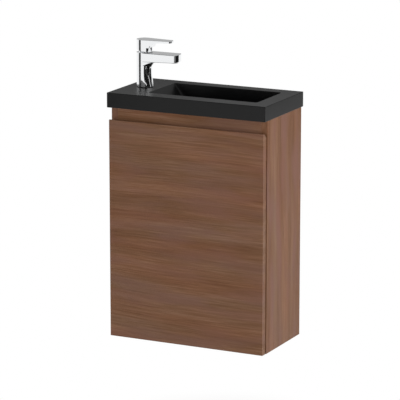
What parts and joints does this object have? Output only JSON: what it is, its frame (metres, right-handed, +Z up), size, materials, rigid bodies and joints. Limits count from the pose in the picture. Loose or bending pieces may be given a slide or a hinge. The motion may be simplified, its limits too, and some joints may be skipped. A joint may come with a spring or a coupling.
{
  "type": "cloakroom vanity unit",
  "caption": "Wall-hung walnut-look cloakroom vanity unit with a thin black basin slab, a side-set chrome lever tap, a handleless door and its trap and hangers.",
  "frame": {"origin": "on the wall plane, at the middle of the four wall screws that hold the two hanger plates", "axes": "+X to the right seen from the front, +Y into the wall (the door faces -Y), +Z up"},
  "size_m": [0.4, 0.21, 0.6895],
  "materials": {
    "white_plastic": "satin",
    "tap_chrome": "polished",
    "basin_stone": "satin",
    "side_veneer": "satin",
    "zinc_steel": "satin",
    "brass": "satin",
    "door_veneer": "satin",
    "clear_bumper": "satin",
    "rail_veneer": "satin",
    "beech": "matte",
    "black_rubber": "matte"
  },
  "bodies": {
    "cabinet": {"aerator_disc": "white_plastic", "aerator_sleeve": "tap_chrome", "basin": "basin_stone", "bottom_panel": "side_veneer", "cam_bolts": "zinc_steel", "cam_locks": "zinc_steel", "cartridge_housing": "white_plastic", "cartridge_nut": "brass", "door_bumpers": "clear_bumper", "grip_rail": "rail_veneer", "hanger_adjusters": "zinc_steel", "hanger_case_left": "white_plastic", "hanger_case_right": "white_plastic", "hanger_hook_left": "zinc_steel", "hanger_hook_right": "zinc_steel", "hinge_arm_screws": "zinc_steel", "hinge_arms": "zinc_steel", "hinge_plate_screws": "zinc_steel", "hinge_plates": "zinc_steel", "panel_dowels": "beech", "rear_rail_lower": "side_veneer", "rear_rail_upper": "side_veneer", "shelf": "side_veneer", "shelf_pins": "zinc_steel", "side_panel_left": "side_veneer", "side_panel_right": "side_veneer", "tap_base_seal": "black_rubber", "tap_body": "tap_chrome", "tap_clamp_rubber": "black_rubber", "tap_clamp_washer": "zinc_steel", "tap_collar": "tap_chrome", "tap_fixing_nut": "brass", "tap_stud": "zinc_steel", "trap_cup": "white_plastic", "trap_cup_seal": "black_rubber", "trap_dip_tube": "white_plastic", "trap_head": "white_plastic", "trap_neck_nut": "white_plastic", "trap_outlet_nut": "white_plastic", "trap_outlet_pipe": "white_plastic", "trap_union_nut": "white_plastic", "wall_plate_left": "zinc_steel", "wall_plate_right": "zinc_steel", "waste_back_nut": "white_plastic", "waste_lower_seal": "black_rubber", "waste_strainer": "tap_chrome", "waste_upper_seal": "black_rubber"},
    "door": {"door": "door_veneer", "hinge_cups": "zinc_steel", "hinge_pins": "zinc_steel", "hinge_cup_screws": "zinc_steel"},
    "tap_rotor": {"cartridge_rotor": "white_plastic", "cartridge_pivot_pin": "zinc_steel"},
    "tap_lever": {"cartridge_stem": "zinc_steel", "tap_lever": "tap_chrome", "lever_grub_screw": "zinc_steel", "lever_plug": "tap_chrome"}
  },
  "joints": [
    {"name": "door_swing", "type": "hinge", "parent": "cabinet", "child": "door", "pos_m": [-0.1899, -0.2029, -0.24075], "axis": [0, 0, -1], "range_deg": [0, 95]},
    {"name": "lever_turn", "type": "hinge", "parent": "cabinet", "child": "tap_rotor", "pos_m": [-0.157, -0.102, 0.164], "axis": [0, 0, 1], "range_deg": [-50, 50]},
    {"name": "lever_lift", "type": "hinge", "parent": "tap_rotor", "child": "tap_lever", "pos_m": [-0.157, -0.102, 0.164], "axis": [0, -1, 0], "range_deg": [0, 22]}
  ]
}
